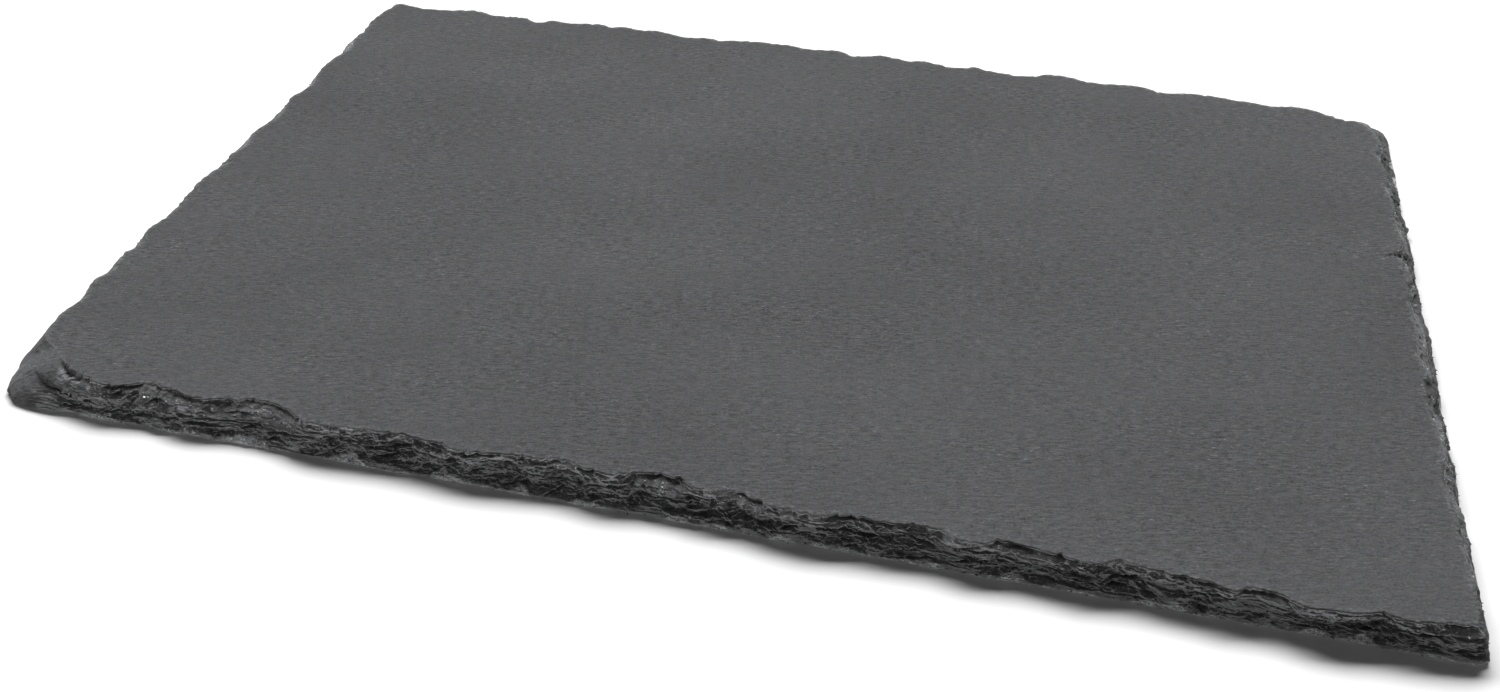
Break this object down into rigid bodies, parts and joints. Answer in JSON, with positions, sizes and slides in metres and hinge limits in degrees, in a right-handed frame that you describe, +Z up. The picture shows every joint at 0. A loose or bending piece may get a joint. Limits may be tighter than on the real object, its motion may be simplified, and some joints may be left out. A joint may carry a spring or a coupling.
{
  "type": "slate slab",
  "caption": "Thin rectangular slab of riven dark grey slate with hand-dressed, flaked edges and one worn corner, for serving or display.",
  "frame": {"origin": "middle of the slab's footprint, on the surface it rests on", "axes": "+X along the long side, +Y from the front edge to the back edge, +Z up out of the top face"},
  "size_m": [0.3, 0.2, 0.006],
  "materials": {
    "slate": "riven matt cleavage faces with a faint lineation, darker glinting broken edges"
  },
  "bodies": {
    "root": {"slab": "slate"}
  },
  "joints": []
}
